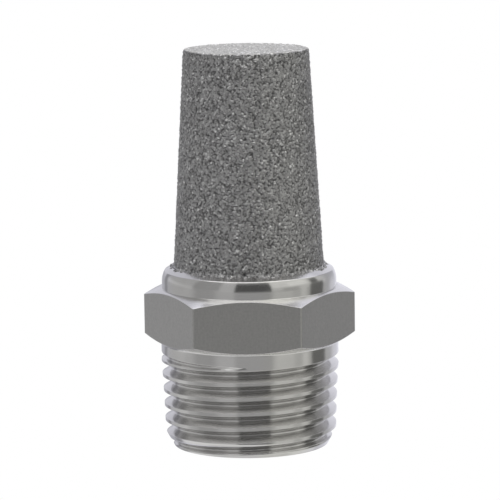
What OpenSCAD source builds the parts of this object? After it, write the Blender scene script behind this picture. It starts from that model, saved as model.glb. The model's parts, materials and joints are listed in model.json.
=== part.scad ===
// Pneumatic muffler: a turned stainless thread body with a sintered porous cone
// pressed into its collar. The origin is the centre of the thread's end face,
// and +Z runs along the axis towards the cone.

/* [Taper thread R 1/2] */
// Thread pitch, 14 turns to the inch
thread_pitch = 1.8143; // [1.4:0.0001:2]
// Major diameter at the gauge plane
gauge_d = 20.955; // [20.5:0.005:21.2]
// Height of the gauge plane above the end face
gauge_height = 8.2; // [6:0.1:10]
// Threaded length, from the end face to the neck
thread_len = 11; // [9:0.5:14]
// Diameter of the end face, where the lead chamfer starts
end_d = 18.6; // [17.6:0.05:19]
// Angle between the lead chamfer and the axis
lead_angle = 29; // [20:1:45]

/* [Body] */
// Diameter of the plain neck between thread and hexagon
neck_d = 21.3; // [21.2:0.1:21.8]
// Length of the neck
neck_len = 1.6; // [1.2:0.1:4]
// Width of the hexagon across its flats
hex_flats = 22; // [22:1:24]
// Height of the hexagon
hex_len = 6.5; // [5:0.5:10]
// Slope of the hexagon's corner chamfers, in degrees from the end faces
hex_chamfer_angle = 23.5; // [15:0.5:30]
// Diameter where the hexagon's chamfers start
hex_chamfer_d = 21.3; // [20.8:0.1:21.8]
// Outer diameter of the collar that holds the cone
collar_d = 20.94; // [20:0.01:21.2]
// Height of the collar above the hexagon
collar_len = 2.65; // [2:0.05:4]
// Radius of the curve by which the collar's wall rolls in towards the rim
rim_curve_r = 2.64; // [2:0.04:3]
// How far the wall rolls in, in degrees, before the rim's edge
rim_curve_angle = 30; // [20:1:35]
// Height of the slope from the rim's edge up to the cone
rim_slope_len = 0.55; // [0.3:0.05:0.6]

/* [Air way] */
// Diameter of the air bore
bore_d = 14; // [10:0.5:14.5]
// Chamfer at the mouth of the air bore
bore_chamfer = 0.6; // [0.3:0.1:1]
// Depth of the cone's seat below the collar's rim
seat_depth = 4.75; // [3:0.25:7]

/* [Porous cone] */
// Diameter of the cone in its seat and at the rim
cone_base_d = 18; // [17.5:0.1:18.4]
// Diameter of the cone's flat top
cone_top_d = 15; // [13:0.1:17]
// Height of the cone above the rim
cone_len = 25.95; // [15:0.05:35]
// Wall thickness of the cup
cone_wall = 2.2; // [2.1:0.1:3]
// Thickness of the cup's closed top
cone_roof = 2.5; // [2:0.1:4]
// Small bevel round the cone's top edge
cone_bevel = 0.25; // [0.1:0.05:0.5]

/* [Hidden] */
$fn = 96;

// Proportions of the 55 degree round-crested thread form, in pitches
FORM_DEPTH = 0.640327;
FORM_RADIUS = 0.137329;
FLANK_ANGLE = 27.5;
// The thread's radius grows by 1 mm in 32 mm of length
TAPER = 1 / 32;
// Steps of the helix in one turn
TURN_STEPS = 36;
// Steps of the rim's curve
RIM_STEPS = 6;
// How far the ridge is sunk into the core that carries it
SINK = 0.2;
// How far a cut or a join runs on past the face it meets
OVER = 1;

thread_depth = FORM_DEPTH * thread_pitch;
crest_r = FORM_RADIUS * thread_pitch;
// Turns the helix so that a crest crosses the +X side this far above the end face
first_crest = 0.43;

neck_z = thread_len;
hex_z = neck_z + neck_len;
collar_z = hex_z + hex_len;
rim_z = collar_z + collar_len;
seat_z = rim_z - seat_depth;
top_z = rim_z + cone_len;
rim_curve_z = rim_z - rim_slope_len - rim_curve_r * sin(rim_curve_angle);

// Radius over the crests and at the roots, at height z
function major_r(z) = gauge_d / 2 + (z - gauge_height) * TAPER;
function minor_r(z) = major_r(z) - thread_depth;

// Cross-section of the ridge round height z, as [radius, height] points
function ridge_section(z) =
    let (
        tip = major_r(z) - crest_r,
        foot_r = minor_r(z) - SINK,
        flank_r = tip + crest_r * sin(FLANK_ANGLE),
        flank_h = crest_r * cos(FLANK_ANGLE),
        foot_h = flank_h + (flank_r - foot_r) * tan(FLANK_ANGLE)
    )
    [
        [foot_r, z - foot_h],
        [flank_r, z - flank_h],
        [tip + crest_r, z],
        [flank_r, z + flank_h],
        [foot_r, z + foot_h],
    ];

// A ridge that climbs round the axis to the right, from z_from to above z_to
module helical_ridge(z_from, z_to) {
    steps = ceil((z_to - z_from) / thread_pitch * TURN_STEPS);
    start_angle = (z_from - first_crest) / thread_pitch * 360;
    sides = len(ridge_section(0));
    points = [
        for (i = [0:steps])
            let (a = start_angle + i * 360 / TURN_STEPS)
                for (p = ridge_section(z_from + i * thread_pitch / TURN_STEPS))
                    [p[0] * cos(a), p[0] * sin(a), p[1]]
    ];
    walls = [
        for (i = [0:steps - 1], j = [0:sides - 1])
            let (
                k = (j + 1) % sides,
                here = i * sides,
                next = here + sides
            )
                each [[here + j, here + k, next + j], [here + k, next + k, next + j]]
    ];
    first_end = [for (j = [sides - 1:-1:0]) j];
    last_end = [for (j = [0:sides - 1]) steps * sides + j];
    polyhedron(points, concat([first_end], walls, [last_end]), convexity = 10);
}

// Everything inside the lead chamfer and above the end face
module lead_envelope() {
    reach = neck_z + neck_len;
    rotate_extrude()
        polygon([
            [0, 0],
            [end_d / 2, 0],
            [end_d / 2 + reach * tan(lead_angle), reach],
            [0, reach],
        ]);
}

// Ridge on its tapered core, trimmed by the end face and the lead chamfer
module taper_thread() {
    intersection() {
        union() {
            helical_ridge(-OVER, neck_z + OVER);
            translate([0, 0, -OVER])
                cylinder(r1 = minor_r(-OVER), r2 = minor_r(neck_z), h = neck_z + OVER);
        }
        lead_envelope();
    }
}

// Hexagon with its corners turned off to a shallow cone at both ends
module hexagon() {
    corner_r = hex_flats / sqrt(3);
    chamfer_r = corner_r + OVER;
    drop = (chamfer_r - hex_chamfer_d / 2) * tan(hex_chamfer_angle);
    intersection() {
        translate([0, 0, hex_z])
            cylinder(r = corner_r, h = hex_len, $fn = 6);
        rotate_extrude()
            polygon([
                [0, hex_z],
                [hex_chamfer_d / 2, hex_z],
                [chamfer_r, hex_z + drop],
                [chamfer_r, collar_z - drop],
                [hex_chamfer_d / 2, collar_z],
                [0, collar_z],
            ]);
    }
}

// Collar whose wall rolls in to an edge, with a slope from there up to the cone
module collar() {
    rotate_extrude()
        polygon(concat(
            [[0, collar_z - OVER], [collar_d / 2, collar_z - OVER]],
            [
                for (i = [0:RIM_STEPS])
                    let (a = i / RIM_STEPS * rim_curve_angle)
                        [
                            collar_d / 2 - rim_curve_r * (1 - cos(a)),
                            rim_curve_z + rim_curve_r * sin(a),
                        ]
            ],
            [[cone_base_d / 2, rim_z], [0, rim_z]]
        ));
}

// Air bore with a chamfered mouth, and the seat of the cone above it
module air_way() {
    mouth_h = bore_chamfer + OVER;
    translate([0, 0, -OVER])
        cylinder(d = bore_d, h = rim_z + 2 * OVER);
    translate([0, 0, -OVER])
        cylinder(d1 = bore_d + 2 * mouth_h, d2 = bore_d, h = mouth_h);
    translate([0, 0, seat_z])
        cylinder(d = cone_base_d, h = seat_depth + OVER);
}

module threaded_body() {
    color([0.62, 0.62, 0.6])
        difference() {
            union() {
                taper_thread();
                translate([0, 0, neck_z])
                    cylinder(d = neck_d, h = neck_len + hex_len / 2);
                hexagon();
                collar();
            }
            air_way();
        }
}

// Hollow cup: a short cylinder in the seat, then a slender cone with a closed top
module porous_cone() {
    base_r = cone_base_d / 2;
    top_r = cone_top_d / 2;
    color([0.42, 0.42, 0.41])
        rotate_extrude()
            polygon([
                [base_r - cone_wall, seat_z],
                [base_r, seat_z],
                [base_r, rim_z],
                [top_r, top_z - cone_bevel],
                [top_r - cone_bevel, top_z],
                [0, top_z],
                [0, top_z - cone_roof],
                [top_r - cone_wall, top_z - cone_roof],
                [base_r - cone_wall, rim_z],
            ]);
}

threaded_body();
porous_cone();
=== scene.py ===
"""Looks of the pneumatic muffler: a turned stainless thread body and a sintered cone."""

import json
import math

import bmesh
import bpy
import numpy as np
from mathutils import Matrix, Vector, geometry, kdtree


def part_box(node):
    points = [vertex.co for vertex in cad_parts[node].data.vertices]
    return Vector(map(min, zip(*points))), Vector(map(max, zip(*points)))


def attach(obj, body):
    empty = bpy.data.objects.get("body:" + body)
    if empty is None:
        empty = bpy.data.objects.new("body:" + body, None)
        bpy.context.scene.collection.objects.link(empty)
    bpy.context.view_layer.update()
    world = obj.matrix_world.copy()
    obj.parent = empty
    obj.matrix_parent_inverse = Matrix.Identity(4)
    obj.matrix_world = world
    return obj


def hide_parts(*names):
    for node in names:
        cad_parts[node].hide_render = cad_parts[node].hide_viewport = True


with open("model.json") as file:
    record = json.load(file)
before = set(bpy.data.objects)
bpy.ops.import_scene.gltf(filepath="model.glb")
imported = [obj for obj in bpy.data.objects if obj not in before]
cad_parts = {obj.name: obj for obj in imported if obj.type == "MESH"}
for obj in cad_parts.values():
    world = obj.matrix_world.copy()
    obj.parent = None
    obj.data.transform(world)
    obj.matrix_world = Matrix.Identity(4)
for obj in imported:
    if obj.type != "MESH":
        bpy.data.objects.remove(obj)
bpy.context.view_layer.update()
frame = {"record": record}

# Lengths are in millimetres until a mesh is made, and MM turns them into metres
MM = 0.001
_, BODY_HIGH = (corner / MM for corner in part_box("threaded_body"))
CONE_LOW, CONE_HIGH = (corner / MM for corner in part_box("porous_cone"))
MOUNTS = {mount["name"]: mount for mount in frame["record"]["mounts"]}

# Body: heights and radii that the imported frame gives
FLAT_R = BODY_HIGH.y
RIM_Z = BODY_HIGH.z
SEAT_Z = CONE_LOW.z
SEAT_R = CONE_HIGH.x
BORE_R = MOUNTS["air_inlet"]["dims"]["r_mm"]

# Body: the turned outline
END_R = 9.3
LEAD_SLOPE = math.tan(math.radians(29))
BORE_CHAMFER = 0.6
NECK_R = 10.65
NECK_Z = 11.7
HEX_Z = 12.6
HEX_TOP_Z = 19.1
HEX_CHAMFER_SLOPE = math.tan(math.radians(23.5))
HEX_CORNER_ROUND = 0.3
HEX_CORNER_COLUMNS = (-0.7, -0.5, -0.25, 0.25, 0.5, 0.7)
COLLAR_R = 10.47
RIM_CURVE_R = 2.64
RIM_EDGE_TURN = 30
RIM_SLOPE_LEN = 0.55

# Body: the small rounds at the outline's corners
NECK_ROUND = 0.2
CHAMFER_ROUND = 0.05
HEX_TOP_ROUND = 0.03
FOOT_ROUND = 0.08
RIM_EDGE_ROUND = 0.06
RIM_INSIDE_ROUND = 0.04
SEAT_ROUND = 0.1
MOUTH_ROUND = 0.05
BEND_STEPS = 4

# A face of the body is part of a drawn flat when it lies outside this radius and faces about level
DRAWN_FROM_R = NECK_R + 0.2
DRAWN_TILT = 0.2

# Taper pipe thread R 1/2
PITCH = 1.8143
CREST_ROUND = 0.137329 * PITCH
ROOT_ROUND = 0.19
FLANK = math.radians(27.5)
GAUGE_R = 20.955 / 2
GAUGE_Z = 8.2
TAPER = 1 / 32
FIRST_CREST = 0.43
CREST_CUT = 0.1
LEAD_ROUND = 0.05
# The thread's rows stop this far short of the end face and the neck, for the rounds there
THREAD_MARGIN = 0.03
END_FACE_ROUND = THREAD_MARGIN * 0.8

# Near the neck the crests keep more of the bar, and the tool stops and backs out of the last groove
FULL_CREST_Z = 4
FULL_CREST_RISE = 0.0035
LAST_GROOVE_Z = 10.97
BACK_OUT_LEN = 0.8
LEVEL_ROWS_FROM = 10.1
LEVEL_ROW_STEP = 0.04

# Porous cone: the cup
CONE_TOP_R = 7.5
CUP_WALL = 2.2
CUP_ROOF = 2.5
ROOF_BEVEL = 0.2
TOP_EDGE_ROUND = 0.3
SHANK_START = 1.6
SHANK_BEVEL = 0.1
SHANK_GAP = 0.01

# Porous cone: the powder grains, and how much of their relief the punch presses out of the top
SEED = 11
GRAIN_SPACING = 0.25
GRAIN_LOWEST = -0.1
GRAIN_PROUD = 0.05
GRAIN_DROP = 0.16
GRAIN_SIZES = (0.07, 0.14)
GRAINS_NEAR = 4
PRESSED_SHARE = 0.6

# Porous cone: the skirt of powder on the rim
SKIRT_REACH = 1.1
SKIRT_EDGE = 0.5
SKIRT_UNEVEN = 0.2
SKIRT_WAVES = (7, 13, 22, 31, 47, 68)
SKIRT_FADE = 0.3
SKIRT_LIFT = 0.2

# Porous cone: the mesh
CONE_COLUMNS = 384
MESH_SPACING = 0.135
MESH_ROW_STEP = MESH_SPACING * math.sqrt(3) / 2
LATTICE_MARGIN = 0.7
LATTICE_JITTER = 0.15


# ---------------------------------------------------------------- threaded body


def column_angles():
    """Angles of the mesh columns in degrees: one a degree, and closer at the hexagon's corners."""
    corners = np.arange(0, 360, 60)
    near_corners = (corners[:, None] + np.array(HEX_CORNER_COLUMNS)).ravel() % 360
    each_degree = np.arange(0.0, 360.0)
    return np.append(np.unique(np.concatenate([each_degree, near_corners])), 360.0)


def hexagon_radius(angle):
    """Radius of the hexagon's outline, whose corners are slightly rounded."""
    half_side = math.radians(30)
    off = np.radians(np.abs((angle + 30) % 60 - 30))
    flat = FLAT_R / np.cos(half_side - off)
    centre = (FLAT_R - HEX_CORNER_ROUND) / math.cos(half_side)
    reach = np.maximum(HEX_CORNER_ROUND**2 - (centre * np.sin(off)) ** 2, 0)
    rounded = centre * np.cos(off) + np.sqrt(reach)
    round_x = centre + HEX_CORNER_ROUND * math.cos(half_side)
    round_y = HEX_CORNER_ROUND * math.sin(half_side)
    return np.where(off < math.atan2(round_y, round_x), rounded, flat)


def crest_line(z):
    """Radius over the crests at a height."""
    taper = GAUGE_R + (z - GAUGE_Z) * TAPER
    return np.minimum(taper + FULL_CREST_RISE * np.maximum(z - FULL_CREST_Z, 0) ** 2, NECK_R)


def thread_depth(from_crest):
    """Depth of the round-crested form below the crest line, with the crests worn flat."""
    off = np.abs(from_crest)
    to_root = PITCH / 2 - off
    crest_half = CREST_ROUND * math.cos(FLANK)
    root_half = ROOT_ROUND * math.cos(FLANK)
    crest = CREST_ROUND - np.sqrt(np.maximum(CREST_ROUND**2 - off**2, 0))
    flank = CREST_ROUND * (1 - math.sin(FLANK)) + (off - crest_half) / math.tan(FLANK)
    flanks_meet = CREST_ROUND * (1 - math.sin(FLANK)) + (PITCH / 2 - crest_half) / math.tan(FLANK)
    root_centre = flanks_meet - ROOT_ROUND / math.sin(FLANK)
    root = root_centre + np.sqrt(np.maximum(ROOT_ROUND**2 - to_root**2, 0))
    depth = np.where(off < crest_half, crest, np.where(to_root < root_half, root, flank))
    return np.maximum(depth - CREST_CUT, 0)


def smooth_min(a, b, width):
    """The smaller of two values, with the change-over rounded."""
    h = np.clip(0.5 + 0.5 * (b - a) / width, 0, 1)
    return b + (a - b) * h - width * h * (1 - h)


def pitch_steps():
    """Heights of the mesh rows within one pitch, from a crest to the next one."""
    flat_half = math.sqrt(CREST_ROUND**2 - (CREST_ROUND - CREST_CUT) ** 2)
    arc_from = math.asin(flat_half / CREST_ROUND)
    crest_arc = CREST_ROUND * np.sin(np.linspace(arc_from, math.pi / 2 - FLANK, 4))
    root_arc = ROOT_ROUND * np.sin(np.linspace(0, math.pi / 2 - FLANK, 5))
    root_steps = PITCH / 2 - root_arc[::-1]
    flank_steps = np.linspace(crest_arc[-1], root_steps[0], 4)[1:-1]
    half = np.concatenate([[0, flat_half * 0.7], crest_arc, flank_steps, root_steps])
    return np.concatenate([half, PITCH - half[-2:0:-1]])


def thread_radius(angles, z):
    """Radius of the thread at each angle and height, lead chamfer and last groove included."""
    climbed = z - FIRST_CREST - PITCH * angles / 360
    groove_z = z + PITCH / 2 - climbed % PITCH
    from_groove = np.abs(z - np.minimum(groove_z, LAST_GROOVE_Z))
    backed_out = np.clip((groove_z - LAST_GROOVE_Z) / BACK_OUT_LEN, 0, 1) * thread_depth(PITCH / 2)
    depth = thread_depth(np.maximum(PITCH / 2 - from_groove, 0)) - backed_out
    radius = crest_line(z) - np.maximum(depth, 0)
    return smooth_min(radius, END_R + z * LEAD_SLOPE, LEAD_ROUND)


def thread_rows(angles, z_low, z_high):
    """Rows of the thread: they climb with the helix, and lie level through the last groove."""
    heights = []
    for turn in range(-2, int((z_high - z_low) / PITCH) + 2):
        for step in pitch_steps():
            climb = FIRST_CREST + PITCH * (turn + angles / 360) + step
            heights.append(np.clip(climb, z_low, LEVEL_ROWS_FROM))
    for z in np.arange(LEVEL_ROWS_FROM + LEVEL_ROW_STEP, z_high, LEVEL_ROW_STEP):
        heights.append(np.full_like(angles, z))
    heights.append(np.full_like(angles, z_high))
    return [np.stack([thread_radius(angles, z), z]) for z in heights]


def bend(before, corner, after, size):
    """Rows that turn a corner of the outline with a small round."""
    start = corner + (before - corner) / np.linalg.norm(before - corner, axis=0) * size
    end = corner + (after - corner) / np.linalg.norm(after - corner, axis=0) * size
    shares = np.linspace(0, 1, BEND_STEPS + 1)
    return [(1 - t) ** 2 * start + 2 * t * (1 - t) * corner + t**2 * end for t in shares]


def rim_curve(turn):
    """Radius and height where the collar's wall has rolled in by a turn in degrees."""
    edge_sine = math.sin(math.radians(RIM_EDGE_TURN))
    turn = math.radians(turn)
    radius = COLLAR_R - RIM_CURVE_R * (1 - math.cos(turn))
    return radius, RIM_Z - RIM_SLOPE_LEN - RIM_CURVE_R * (edge_sine - math.sin(turn))


def outline_above_thread(angles, foot_r):
    """Corners of the outline as (radius, height, round), from the neck up and back down the bore."""
    hexagon = hexagon_radius(angles)
    drop = (hexagon - NECK_R) * HEX_CHAMFER_SLOPE
    collar_curve = [(*rim_curve(turn), 0) for turn in range(0, RIM_EDGE_TURN, 3)]
    return [
        (NECK_R, NECK_Z, 0),
        (NECK_R, HEX_Z, NECK_ROUND),
        (hexagon, HEX_Z + drop, CHAMFER_ROUND),
        (hexagon, HEX_TOP_Z - drop, CHAMFER_ROUND),
        (NECK_R, HEX_TOP_Z, HEX_TOP_ROUND),
        (COLLAR_R, HEX_TOP_Z, FOOT_ROUND),
        *collar_curve,
        (*rim_curve(RIM_EDGE_TURN), RIM_EDGE_ROUND),
        (SEAT_R, RIM_Z, RIM_INSIDE_ROUND),
        (SEAT_R, SEAT_Z, SEAT_ROUND),
        (BORE_R, SEAT_Z, SEAT_ROUND),
        (BORE_R, BORE_CHAMFER, MOUTH_ROUND),
        (BORE_R + BORE_CHAMFER, 0, MOUTH_ROUND),
        (foot_r, 0, END_FACE_ROUND),
    ]


def body_rows(angles):
    """All rows of the body, in one loop from the lead chamfer round to the end face."""
    rows = thread_rows(angles, THREAD_MARGIN, NECK_Z - THREAD_MARGIN)
    corners = [
        (np.stack([r + 0 * angles, z + 0 * angles]), size)
        for r, z, size in outline_above_thread(angles, rows[0][0])
    ]
    places = [rows[-1], *(corner for corner, _ in corners), rows[0]]
    for index, (corner, size) in enumerate(corners):
        if size:
            rows += bend(places[index], corner, places[index + 2], size)
        else:
            rows.append(corner)
    return rows


def grid_mesh(name, angles, rows):
    """A closed mesh from rows of (radius, height) over the angles. The last row joins the first."""
    turn = np.radians(angles)
    radius = np.stack([row[0] for row in rows])
    height = np.stack([row[1] for row in rows])
    points = np.stack([radius * np.cos(turn), radius * np.sin(turn), height], axis=-1)
    count, columns = radius.shape
    index = np.arange(count * columns).reshape(count, columns)
    above = np.roll(index, -1, axis=0)
    faces = np.stack([index[:, :-1], index[:, 1:], above[:, 1:], above[:, :-1]], axis=-1)
    mesh = bpy.data.meshes.new(name)
    mesh.from_pydata((points.reshape(-1, 3) * MM).tolist(), [], faces.reshape(-1, 4).tolist())
    work = bmesh.new()
    work.from_mesh(mesh)
    bmesh.ops.remove_doubles(work, verts=work.verts, dist=0.0004 * MM)
    work.to_mesh(mesh)
    work.free()
    return mesh


def weigh_normals(mesh):
    """Smooth shading whose normals follow the larger faces, so flats stay flat to their rounds."""
    count = len(mesh.vertices)
    mesh.calc_loop_triangles()
    triangles = np.zeros(len(mesh.loop_triangles) * 3, np.int32)
    mesh.loop_triangles.foreach_get("vertices", triangles)
    triangles = triangles.reshape(-1, 3)
    points = np.zeros(count * 3, np.float32)
    mesh.vertices.foreach_get("co", points)
    points = points.reshape(-1, 3).astype(float)
    a, b, c = (points[triangles[:, side]] for side in range(3))
    area_normals = np.cross(b - a, c - a)
    total = np.zeros((count, 3))
    for side in range(3):
        np.add.at(total, triangles[:, side], area_normals)
    total /= np.maximum(np.linalg.norm(total, axis=1), 1e-20)[:, None]
    mesh.shade_smooth()
    mesh.normals_split_custom_set_from_vertices(total.tolist())


def build_body():
    """The thread body as one piece, with its drawn hexagon flats in a material of their own."""
    angles = column_angles()
    mesh = grid_mesh("turned_body", angles, body_rows(angles))
    mesh.materials.append(turned_steel())
    mesh.materials.append(drawn_steel())
    for face in mesh.polygons:
        place = face.center / MM
        outside = math.hypot(place.x, place.y) > DRAWN_FROM_R and HEX_Z < place.z < HEX_TOP_Z
        if outside and abs(face.normal.z) < DRAWN_TILT:
            face.material_index = 1
    weigh_normals(mesh)
    return bpy.data.objects.new("turned_body", mesh)


# ---------------------------------------------------------------- porous cone


def direction(start, end):
    """Unit vector from one (radius, height) point to another."""
    return (end - start) / np.linalg.norm(end - start)


def cone_side_points():
    """Rows of the grainy surface, from the skirt on the rim up the side to the flat top.

    Each row is (radius, height, outward radius, outward height, distance out from the joint).
    """
    joint = np.array([SEAT_R, RIM_Z])
    tip = np.array([CONE_TOP_R, CONE_HIGH.z])
    down_rim = direction(joint, np.array(rim_curve(RIM_EDGE_TURN)))
    off_rim = np.array([-down_rim[1], down_rim[0]])
    rows = []
    for reach in np.linspace(SKIRT_REACH, 0, round(SKIRT_REACH / MESH_ROW_STEP) + 1):
        rows.append((*(joint + down_rim * reach), *off_rim, reach))

    along = direction(joint, tip)
    normal = np.array([along[1], -along[0]])
    end = tip - along * TOP_EDGE_ROUND
    count = round(np.linalg.norm(end - joint) / MESH_ROW_STEP)
    for share in np.linspace(0, 1, count + 1)[1:]:
        rows.append((*(joint + (end - joint) * share), *normal, 0.0))
    edge_end = tip - np.array([TOP_EDGE_ROUND, 0])
    for t in (0.25, 0.5, 0.75, 1.0):
        place = (1 - t) ** 2 * end + 2 * t * (1 - t) * tip + t**2 * edge_end
        facing = (1 - t) * normal + t * np.array([0, 1])
        rows.append((*place, *(facing / np.linalg.norm(facing)), 0.0))
    return np.array(rows)


def scatter_grains(random):
    """Centres of the powder grains on the side and top, with each one's level, size and tone."""
    row_step = GRAIN_SPACING * math.sqrt(3) / 2
    centres = []
    for z in np.arange(RIM_Z - SKIRT_REACH, CONE_HIGH.z, row_step):
        share = (z - RIM_Z) / (CONE_HIGH.z - RIM_Z)
        radius = SEAT_R + (CONE_TOP_R - SEAT_R) * share
        if z < RIM_Z:
            edge_r, edge_z = rim_curve(RIM_EDGE_TURN)
            radius = SEAT_R + (RIM_Z - z) / SKIRT_REACH * (edge_r - SEAT_R)
            z = RIM_Z + (RIM_Z - z) / SKIRT_REACH * (edge_z - RIM_Z)
        count = round(2 * math.pi * radius / GRAIN_SPACING)
        turn = (np.arange(count) + random.uniform(0, 1)) / count * 2 * math.pi
        turn = turn + random.uniform(-0.5, 0.5, count) * GRAIN_SPACING / radius
        height = z + random.uniform(-0.5, 0.5, count) * GRAIN_SPACING
        centres.append(np.stack([radius * np.cos(turn), radius * np.sin(turn), height], axis=-1))
    reach = np.arange(-CONE_TOP_R, CONE_TOP_R, GRAIN_SPACING)
    x, y = (axis.ravel() for axis in np.meshgrid(reach, reach))
    x = x + random.uniform(-0.5, 0.5, x.size) * GRAIN_SPACING
    y = y + random.uniform(-0.5, 0.5, y.size) * GRAIN_SPACING
    inside = np.hypot(x, y) < CONE_TOP_R - 0.1
    top = np.stack([x[inside], y[inside], np.full(inside.sum(), CONE_HIGH.z)], axis=-1)
    centres = np.concatenate([*centres, top])
    level = random.uniform(GRAIN_LOWEST, GRAIN_PROUD, len(centres))
    size = random.uniform(*GRAIN_SIZES, len(centres))
    tone = random.uniform(0, 1, len(centres))
    return centres, level, size, tone


def grain_relief(points, random):
    """Depth below the moulded surface and grain tone at each point."""
    centres, level, size, tone = scatter_grains(random)
    tree = kdtree.KDTree(len(centres))
    for index, centre in enumerate(centres):
        tree.insert(centre, index)
    tree.balance()
    relief = np.empty(len(points))
    tones = np.empty(len(points))
    for index, point in enumerate(points):
        best = -1.0
        for _, grain, distance in tree.find_n(point, GRAINS_NEAR):
            height = level[grain] - distance * distance / (2 * size[grain])
            if height > best:
                best = height
                tones[index] = tone[grain]
        relief[index] = best
    return np.maximum(relief, -2 * GRAIN_DROP), tones


def skirt_lift(around, reach, random):
    """How far the skirt stands off the rim: above it near the joint, sunk in past an uneven edge."""
    uneven = np.zeros_like(around)
    for waves in SKIRT_WAVES:
        phase = random.uniform(0, 2 * math.pi)
        uneven += np.sin(waves * around + phase) / math.sqrt(len(SKIRT_WAVES))
    edge = SKIRT_EDGE + SKIRT_UNEVEN * uneven
    share = np.clip((edge - reach) / SKIRT_FADE, -1, 1)
    lift = np.where(share > 0, SKIRT_LIFT * share, 2 * GRAIN_DROP * share)
    return np.where(reach > 0, lift, 0)


def ring_faces(lower, upper, lower_is_even):
    """Triangles between two rings, one of which is turned by half a column."""
    lower_next, upper_next = np.roll(lower, -1), np.roll(upper, -1)
    if lower_is_even:
        first = np.stack([lower, lower_next, upper], axis=-1)
        second = np.stack([lower_next, upper_next, upper], axis=-1)
    else:
        first = np.stack([lower, lower_next, upper_next], axis=-1)
        second = np.stack([lower, upper_next, upper], axis=-1)
    return np.concatenate([first, second]).tolist()


def side_grid():
    """The side's staggered rings: points, outward normals and distances out from the joint."""
    side = cone_side_points()
    offset = (np.arange(len(side)) % 2) / 2
    turn = (np.arange(CONE_COLUMNS)[None, :] + offset[:, None]) * 2 * math.pi / CONE_COLUMNS
    spread = np.stack([np.cos(turn), np.sin(turn)], axis=-1)
    tall = np.ones(turn.shape + (1,))
    points = np.concatenate([side[:, None, 0:1] * spread, side[:, None, 1:2] * tall], -1)
    normals = np.concatenate([side[:, None, 2:3] * spread, side[:, None, 3:4] * tall], -1)
    return points, normals, (side[:, None, 4:5] * tall).ravel()


def fill_top(ring, random):
    """A loose triangle lattice inside the flat top's ring: its points and the triangles.

    The triangles number the ring's points first and the lattice's points after them.
    """
    radius = CONE_TOP_R - TOP_EDGE_ROUND
    x, y = np.meshgrid(
        np.arange(-radius, radius, MESH_SPACING),
        np.arange(-radius, radius, MESH_ROW_STEP),
    )
    x = x + (np.arange(x.shape[0]) % 2)[:, None] * MESH_SPACING / 2
    inside = np.hypot(x, y) < radius - MESH_SPACING * LATTICE_MARGIN
    lattice = np.stack([x[inside], y[inside]], axis=-1)
    jitter = random.uniform(-LATTICE_JITTER, LATTICE_JITTER, lattice.shape)
    lattice = lattice + jitter * MESH_SPACING
    flat = [Vector(p) for p in np.concatenate([ring[:, :2], lattice])]
    edges = [(i, (i + 1) % CONE_COLUMNS) for i in range(CONE_COLUMNS)]
    _, _, cells, origins, _, _ = geometry.delaunay_2d_cdt(flat, edges, [], 1, 1e-6)
    top = np.column_stack([lattice, np.full(len(lattice), ring[0, 2])])
    return top, [[min(origins[v]) for v in cell] for cell in cells]


def cup_inside(previous, start):
    """Points and faces of the shank and the cavity, down from a ring and back up to the roof."""
    inner_r = SEAT_R - CUP_WALL
    roof_r = CONE_TOP_R - CUP_WALL
    roof_z = CONE_HIGH.z - CUP_ROOF
    outline = [
        (SEAT_R - SHANK_GAP, RIM_Z - SHANK_START),
        (SEAT_R - SHANK_GAP, SEAT_Z + SHANK_BEVEL),
        (SEAT_R - SHANK_BEVEL, SEAT_Z + SHANK_GAP),
        (inner_r, SEAT_Z + SHANK_GAP),
        (inner_r, RIM_Z),
        (roof_r, roof_z - ROOF_BEVEL),
        (roof_r - ROOF_BEVEL, roof_z),
    ]
    columns = np.arange(CONE_COLUMNS)
    turn = columns * 2 * math.pi / CONE_COLUMNS
    points = []
    faces = []
    for order, (radius, height) in enumerate(outline):
        points.append(np.stack([radius * np.cos(turn), radius * np.sin(turn), 0 * turn + height], -1))
        ring = start + order * CONE_COLUMNS + columns
        quads = np.stack([ring, np.roll(ring, -1), np.roll(previous, -1), previous], axis=-1)
        faces += quads.tolist()
        previous = ring
    points.append(np.array([[0.0, 0.0, roof_z]]))
    hub = start + len(outline) * CONE_COLUMNS
    faces += [[hub, a, b] for a, b in zip(np.roll(previous, -1).tolist(), previous.tolist())]
    return np.concatenate(points), faces


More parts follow.
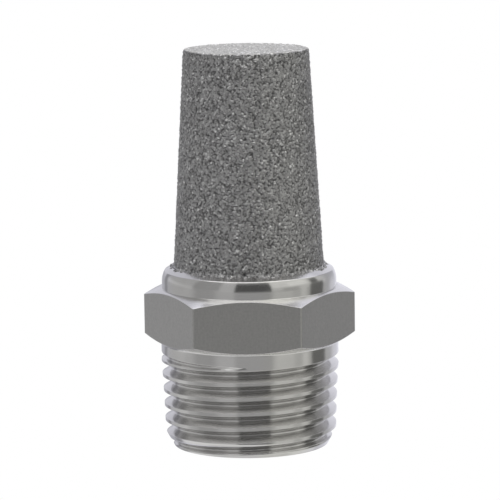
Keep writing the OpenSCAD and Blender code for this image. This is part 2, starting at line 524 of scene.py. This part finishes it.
def build_cone():
    """The sintered cup: a grainy side and top, a plain shank in the seat and the cavity."""
    random = np.random.default_rng(SEED)
    side, side_normals, reach = side_grid()
    rings = np.arange(side.shape[0] * CONE_COLUMNS).reshape(-1, CONE_COLUMNS)
    faces = []
    for row in range(len(rings) - 1):
        faces += ring_faces(rings[row], rings[row + 1], row % 2 == 0)
    top, triangles = fill_top(side[-1], random)
    faces += [[int(rings[-1][0]) + v for v in triangle] for triangle in triangles]

    # Grains stand off the smooth form along its normals, flatter on the top, and the skirt lifts
    smooth = np.concatenate([side.reshape(-1, 3), top])
    normals = np.concatenate([side_normals.reshape(-1, 3), np.tile([0.0, 0.0, 1.0], (len(top), 1))])
    relief, tones = grain_relief(smooth, random)
    on_top = np.clip((smooth[:, 2] - CONE_HIGH.z) / TOP_EDGE_ROUND + 1, 0, 1)
    relief -= GRAIN_PROUD * on_top
    relief *= 1 - PRESSED_SHARE * on_top
    around = np.arctan2(smooth[:, 1], smooth[:, 0])
    reach = np.concatenate([reach, np.zeros(len(top))])
    lift = skirt_lift(around, reach, random)
    grainy = smooth + normals * (relief + lift)[:, None]

    inside, inside_faces = cup_inside(rings[0], len(grainy))
    mesh = bpy.data.meshes.new("sintered_cone")
    mesh.from_pydata((np.concatenate([grainy, inside]) * MM).tolist(), [], faces + inside_faces)
    pit = np.concatenate([np.clip(-relief / GRAIN_DROP, 0, 1), np.zeros(len(inside))])
    tone = np.concatenate([tones, np.full(len(inside), 0.5)])
    for name, values in (("grain_pit", pit), ("grain_tone", tone)):
        attribute = mesh.attributes.new(name, "FLOAT", "POINT")
        attribute.data.foreach_set("value", values.astype(np.float32))
    mesh.shade_smooth()
    mesh.materials.append(sintered_steel())
    return bpy.data.objects.new("sintered_cone", mesh)


# ---------------------------------------------------------------- materials


class Nodes:
    """A small helper that adds nodes to a tree and links them."""

    def __init__(self, tree):
        self.tree = tree
        tree.nodes.clear()

    def add(self, kind, inputs=None, **settings):
        node = self.tree.nodes.new(kind)
        for key, value in settings.items():
            setattr(node, key, value)
        for key, value in (inputs or {}).items():
            self.set(node.inputs[key], value)
        return node

    def set(self, socket, value):
        if isinstance(value, bpy.types.NodeSocket):
            self.tree.links.new(value, socket)
        else:
            socket.default_value = value

    def math(self, operation, a, b=0.0, c=0.0):
        return self.add("ShaderNodeMath", {0: a, 1: b, 2: c}, operation=operation).outputs[0]

    def sum(self, base, *parts):
        """The base plus each (value, share) of the parts, multiplied out."""
        for value, share in parts:
            base = self.math("MULTIPLY_ADD", value, share, base)
        return base

    def product(self, value, *factors):
        for factor in factors:
            value = self.math("MULTIPLY", value, factor)
        return value

    def ramp(self, value, low, high, to_low=0.0, to_high=1.0):
        """Smoothly from to_low to to_high as value goes from low to high."""
        ends = {"From Min": low, "From Max": high, "To Min": to_low, "To Max": to_high}
        return self.add(
            "ShaderNodeMapRange", {"Value": value, **ends}, interpolation_type="SMOOTHSTEP"
        ).outputs[0]

    def stretch(self, vector, scale):
        inputs = {0: vector, 1: scale}
        return self.add("ShaderNodeVectorMath", inputs, operation="MULTIPLY").outputs[0]

    def noise(self, vector, scale, detail):
        node = self.add("ShaderNodeTexNoise", {"Vector": vector, "Scale": scale, "Detail": detail})
        return node.outputs["Fac"]

    def bump(self, relief, strength, depth):
        """Normals of a relief that is this many millimetres deep."""
        inputs = {"Strength": strength, "Distance": depth * MM, "Height": relief}
        return self.add("ShaderNodeBump", inputs).outputs[0]

    def tinted(self, grey, tint):
        red, green, blue = (self.math("MULTIPLY", grey, part) for part in tint)
        return self.add("ShaderNodeCombineColor", {0: red, 1: green, 2: blue}).outputs[0]


# Greys of the bare metals, before their marks, speckle and grains
TURNED_GREY = 0.59
DRAWN_GREY = 0.327
SINTERED_GREY = 0.265

# Depths below the cone's highest point over which the painted shade on its bevel starts and the
# painted light on its flat top takes over
BEVEL_SHADE_DEPTHS = (0.4, 0.25)
TOP_LIGHT_DEPTHS = (0.12, 0.06)


def new_material(name):
    material = bpy.data.materials.new(name)
    material.use_nodes = True
    return material, Nodes(material.node_tree)


def millimetres(nodes):
    """Object coordinates in millimetres: the vector, the height and the distance from the axis."""
    place = nodes.add("ShaderNodeTexCoord").outputs["Object"]
    vector = nodes.stretch(place, (1 / MM,) * 3)
    x, y, height = nodes.add("ShaderNodeSeparateXYZ", {0: vector}).outputs
    squares = nodes.math("ADD", nodes.math("POWER", x, 2.0), nodes.math("POWER", y, 2.0))
    return vector, height, nodes.math("SQRT", squares)


def turned_steel():
    """Turned stainless: lathe marks round the axis, which smear the gloss along it."""
    material, nodes = new_material("turned_stainless")
    vector, height, radius = millimetres(nodes)
    path = nodes.sum(height, (radius, 1.7))
    marks = nodes.add(
        "ShaderNodeTexNoise",
        {"W": path, "Scale": 14.0, "Detail": 3.0, "Roughness": 0.7},
        noise_dimensions="1D",
    ).outputs["Fac"]
    cloudy = nodes.noise(vector, 0.6, 3.0)

    # Depth below the taper's crests: painted shade makes the flanks and roots of the grooves a little
    # darker than the crests
    crests = nodes.sum(GAUGE_R - GAUGE_Z * TAPER, (height, TAPER))
    flank = nodes.ramp(nodes.math("SUBTRACT", crests, radius), 0.02, 0.2)
    grey = nodes.sum(TURNED_GREY, (marks, 0.07), (cloudy, 0.06), (flank, -0.04))
    shader = nodes.add(
        "ShaderNodeBsdfPrincipled",
        {
            "Base Color": nodes.tinted(grey, (1.0, 0.99, 0.975)),
            "Metallic": 1.0,
            "Roughness": nodes.sum(0.11, (cloudy, 0.06)),
            "Anisotropic": 0.85,
            "Anisotropic Rotation": 0.25,
            "Tangent": nodes.add("ShaderNodeTangent", direction_type="RADIAL", axis="Z").outputs[0],
            "Normal": nodes.bump(marks, 0.3, 0.006),
        },
    )
    nodes.add("ShaderNodeOutputMaterial", {"Surface": shader.outputs[0]})
    return material


def drawn_steel():
    """Cold-drawn hexagon flats: dull satin with a fine speckle and faint lines along the bar."""
    material, nodes = new_material("drawn_stainless")
    vector, _, _ = millimetres(nodes)
    lines = nodes.noise(nodes.stretch(vector, (7.0, 7.0, 0.6)), 1.0, 3.0)
    speckle = nodes.noise(vector, 4.0, 4.0)
    relief = nodes.math("ADD", lines, speckle)
    grey = nodes.sum(DRAWN_GREY, (speckle, 0.175), (lines, 0.07))
    shader = nodes.add(
        "ShaderNodeBsdfPrincipled",
        {
            "Base Color": nodes.tinted(grey, (1.0, 0.99, 0.97)),
            "Metallic": 1.0,
            "Roughness": nodes.sum(0.36, (speckle, 0.1)),
            "Normal": nodes.bump(relief, 0.5, 0.012),
        },
    )
    nodes.add("ShaderNodeOutputMaterial", {"Surface": shader.outputs[0]})
    return material


def sintered_steel():
    """Sintered powder: matt grains of uneven tone, painted shade in the pits between them, painted
    glints on a few grains.
    """
    material, nodes = new_material("sintered_stainless")
    vector, height, _ = millimetres(nodes)
    pit = nodes.add("ShaderNodeAttribute", attribute_name="grain_pit").outputs["Fac"]
    grain = nodes.add("ShaderNodeAttribute", attribute_name="grain_tone").outputs["Fac"]
    cells = nodes.add("ShaderNodeTexVoronoi", {"Vector": vector, "Scale": 4.6})
    chance = nodes.add("ShaderNodeSeparateColor", {0: cells.outputs["Color"]}).outputs[0]
    fine = nodes.noise(vector, 7.0, 3.0)
    relief = nodes.sum(0.0, (cells.outputs["Distance"], -1.0), (fine, 0.8))
    # Painted glints: a few random grains are painted much brighter
    painted_glint = nodes.ramp(chance, 0.9, 0.97)
    grey = nodes.sum(SINTERED_GREY, (chance, 0.175), (grain, 0.11), (painted_glint, 0.28))
    # Painted shade: the grey darkens down to 0.4 in the pits between the grains
    painted_pit_shade = nodes.ramp(pit, 0.3, 1.0, 1.0, 0.4)
    blotches = nodes.ramp(fine, 0.25, 0.75, 0.8, 1.2)

    # Painted light: the flat top is painted brighter and warmer. Painted shade: the bevel round it,
    # which keeps its grains, is painted darker
    bevel_shade_z = [CONE_HIGH.z - depth for depth in BEVEL_SHADE_DEPTHS]
    top_light_z = [CONE_HIGH.z - depth for depth in TOP_LIGHT_DEPTHS]
    painted_bevel_shade = nodes.ramp(height, *bevel_shade_z, 1.0, 0.88)
    painted_top_light = nodes.ramp(height, *top_light_z, painted_bevel_shade, 1.36)
    # Painted light: the flat top is painted warmer, with less blue
    blue = nodes.ramp(height, *top_light_z, 0.995, 0.93)
    grey = nodes.product(grey, painted_pit_shade, blotches, painted_top_light)
    shader = nodes.add(
        "ShaderNodeBsdfPrincipled",
        {
            "Base Color": nodes.tinted(grey, (1.0, 0.992, blue)),
            "Metallic": 1.0,
            "Roughness": 0.5,
            "Normal": nodes.bump(relief, 0.5, 0.06),
        },
    )
    nodes.add("ShaderNodeOutputMaterial", {"Surface": shader.outputs[0]})
    return material


# ---------------------------------------------------------------- studio


# Camera: degrees up, round to the muffler's right and of roll, then metres, and the lens in mm
CAMERA_UP = 8.845
CAMERA_ROUND = 1.58
CAMERA_ROLL = 0.8
CAMERA_DISTANCE = 0.3833
CAMERA_AIM_Z = 0.02344
CAMERA_AIM_RIGHT = 0.00016
CAMERA_LENS = 230.2

FLOOR_HALF = 4.0

# Brightness of the plain studio: walls in front and behind, and rings from below to overhead
WALLS_FRONT = 0.68
WALLS_BACK = 0.8
UNDERSIDE = 0.85
FLOOR_RING = 1.0
LOW_WALLS = 0.57
CEILING = 1.9
OVERHEAD = 0.7

# Panels and gaps of the studio, in degrees round from the front (right is positive) and up:
# (from, to, edge), (lowest, highest, edge), brightness. Later ones lie over earlier ones
PANELS = {
    "front shade": ((-18, 31, 1), (-20, 5, 2), 0.5),
    "front foot": ((-18, 31, 1), (-36, -22, 2), 0.12),
    "front gap": ((-18, 31, 1), (-3, 42, 3), 0.11),
    "front gap top": ((-18, 31, 1), (42, 48, 2), 0.4),
    "left wall": ((-147, -76, 4), (8, 56, 4), 0.56),
    "left floor": ((-150, -92, 6), (-30, -14, 3), 0.85),
    "left foot": ((-150, -114, 5), (-33, -17, 3), 0.4),
    "left side": ((-38, -18, 3), (6, 42, 3), 0.59),
    "left shade": ((-76, -44, 7), (-30, 30, 5), 0.44),
    "left screen": ((-78, -38, 3), (3, 48, 3), 0.41),
    "left strip": ((-147, -136, 3), (-40, 30, 5), 0.38),
    "right window": ((33, 92, 3), (14, 50, 3), 0.88),
    "right lamp": ((57, 86, 3), (15, 33, 4), 1.02),
    "right low": ((47, 70, 4), (-5, 10, 3), 0.47),
    "right floor": ((35, 62, 4), (-32, -9, 4), 0.72),
    "right spot": ((74, 83, 2), (-20, 10, 3), 0.72),
    "right strip": ((93, 107, 3), (8, 27, 5), 0.2),
    "right strip low": ((89, 116, 3), (-25, 9, 3), 0.19),
    "right back": ((122, 182, 8), (-5, 50, 8), 0.58),
    "right back low": ((135, 182, 8), (-40, 0, 8), 0.85),
    "right high": ((102, 182, 6), (37, 60, 3), 1.3),
    "right edge": ((158, 182, 4), (-40, 50, 4), 0.95),
}
# Brightness of the studio beside the white that the camera sees
STUDIO_LEVEL = 0.9


def studio_world():
    """Soft studio surroundings: light walls, a bright band overhead, and the panels and gaps."""
    world = bpy.data.worlds.new("studio")
    world.use_nodes = True
    bpy.context.scene.world = world
    nodes = Nodes(world.node_tree)
    towards = nodes.add("ShaderNodeTexCoord").outputs["Generated"]
    x, y, z = nodes.add("ShaderNodeSeparateXYZ", {0: towards}).outputs
    forward = nodes.math("MULTIPLY", y, -1.0)
    azimuth = nodes.math("MULTIPLY", nodes.math("ARCTAN2", x, forward), 180 / math.pi)
    elevation = nodes.math("MULTIPLY", nodes.math("ARCSINE", z), 180 / math.pi)
    from_front = nodes.math("ABSOLUTE", azimuth)

    def band(value, low, high, edge):
        """One inside low to high, and zero outside."""
        rise = nodes.ramp(value, low - edge, low + edge)
        fall = nodes.ramp(value, high - edge, high + edge, 1.0, 0.0)
        return nodes.math("MULTIPLY", rise, fall)

    def mix(under, over, share):
        """From under to over by share."""
        return nodes.math("MULTIPLY_ADD", nodes.math("SUBTRACT", over, under), share, under)

    light = nodes.ramp(from_front, 60.0, 140.0, WALLS_FRONT, WALLS_BACK)
    light = mix(light, LOW_WALLS, nodes.ramp(elevation, -3.0, 6.0, 1.0, 0.0))
    light = mix(light, FLOOR_RING, band(elevation, -58.0, -36.0, 3.0))
    light = mix(light, UNDERSIDE, nodes.ramp(elevation, -62.0, -58.0, 1.0, 0.0))
    light = mix(light, CEILING, nodes.ramp(elevation, 46.0, 51.0))
    light = mix(light, OVERHEAD, nodes.ramp(elevation, 74.0, 80.0))
    for around, upright, brightness in PANELS.values():
        share = nodes.math("MULTIPLY", band(azimuth, *around), band(elevation, *upright))
        light = mix(light, brightness, share)
    light = nodes.math("MULTIPLY", light, STUDIO_LEVEL)

    # The light is a little cooler from behind and warmer from the right
    behind = nodes.ramp(from_front, 110.0, 155.0)
    blue = nodes.sum(1.0, (behind, 0.095), (band(azimuth, 25.0, 110.0, 15.0), -0.04))
    seen = nodes.add("ShaderNodeLightPath").outputs["Is Camera Ray"]
    tint = nodes.add("ShaderNodeCombineColor", {0: 1.0, 1: 1.0, 2: mix(blue, 1.0, seen)}).outputs[0]
    strength = mix(light, 1.0, seen)
    background = nodes.add("ShaderNodeBackground", {"Color": tint, "Strength": strength})
    nodes.add("ShaderNodeOutputWorld", {"Surface": background.outputs[0]})


def studio_floor():
    """A plain white floor that the muffler stands on. Only the camera sees it."""
    mesh = bpy.data.meshes.new("floor")
    sides = ((-1, -1), (1, -1), (1, 1), (-1, 1))
    corners = [(x * FLOOR_HALF, y * FLOOR_HALF, 0) for x, y in sides]
    mesh.from_pydata(corners, [], [(0, 1, 2, 3)])
    material, nodes = new_material("floor")
    seen = nodes.add("ShaderNodeLightPath").outputs["Is Camera Ray"]
    white = nodes.add("ShaderNodeEmission", {"Color": (1, 1, 1, 1), "Strength": 1.0})
    clear = nodes.add("ShaderNodeBsdfTransparent")
    both = nodes.add("ShaderNodeMixShader", {0: seen, 1: clear.outputs[0], 2: white.outputs[0]})
    nodes.add("ShaderNodeOutputMaterial", {"Surface": both.outputs[0]})
    mesh.materials.append(material)
    floor = bpy.data.objects.new("floor", mesh)
    bpy.context.scene.collection.objects.link(floor)


def studio_camera():
    """A long lens slightly above the muffler, turned a little to its right."""
    elevation = math.radians(CAMERA_UP)
    azimuth = math.radians(CAMERA_ROUND)
    roll = math.radians(CAMERA_ROLL)
    back = Vector((
        math.sin(azimuth) * math.cos(elevation),
        -math.cos(azimuth) * math.cos(elevation),
        math.sin(elevation),
    ))
    right = Vector((math.cos(azimuth), math.sin(azimuth), 0))
    up = right.cross(-back)
    aim = Vector((0, 0, CAMERA_AIM_Z)) + right * CAMERA_AIM_RIGHT
    rolled_right = right * math.cos(roll) - up * math.sin(roll)
    rolled_up = right * math.sin(roll) + up * math.cos(roll)
    data = bpy.data.cameras.new("camera")
    data.lens = CAMERA_LENS
    data.sensor_width = 36.0
    data.clip_start = 0.01
    data.clip_end = 20.0
    camera = bpy.data.objects.new("camera", data)
    place = Matrix.Identity(4)
    eye = aim + back * CAMERA_DISTANCE
    for column, axis in enumerate((rolled_right, rolled_up, back, eye)):
        place.col[column][:3] = axis
    camera.matrix_world = place
    bpy.context.scene.collection.objects.link(camera)
    bpy.context.scene.camera = camera


def show(piece, node):
    """Puts a piece in the scene in place of a CAD node, on the one body there is."""
    bpy.context.scene.collection.objects.link(piece)
    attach(piece, "root")
    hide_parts(node)


studio_camera()
studio_world()
studio_floor()
bpy.context.scene.view_settings.view_transform = "Standard"
show(build_body(), "threaded_body")
show(build_cone(), "porous_cone")
